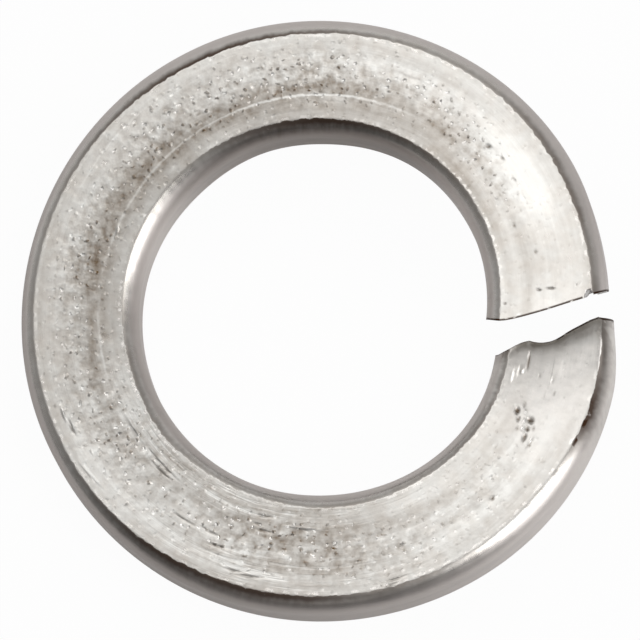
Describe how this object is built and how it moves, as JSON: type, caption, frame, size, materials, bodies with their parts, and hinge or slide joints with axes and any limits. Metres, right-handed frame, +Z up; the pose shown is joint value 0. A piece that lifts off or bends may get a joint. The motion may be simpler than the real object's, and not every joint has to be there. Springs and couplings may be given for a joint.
{
  "type": "spring lock washer",
  "caption": "Split lock washer, one turn of rounded flat spring wire with skewed, undercut ends that stand apart, which keeps a tightened bolt or nut from working loose.",
  "frame": {"origin": "on the surface that the washer lies on, straight below the point of the bore's axis that is half way up the coil", "axes": "+Z up from that surface, +X towards the split. The bore's axis leans 8.6 degrees off +Z, towards -X and +Y, because the washer lies as it settles: on the low end's bore corner and on the outer edge straight across the ring"},
  "size_m": [0.0213, 0.0212, 0.0072],
  "materials": {
    "spring_steel": "satin"
  },
  "bodies": {
    "root": {"lock_washer": "spring_steel"}
  },
  "joints": []
}
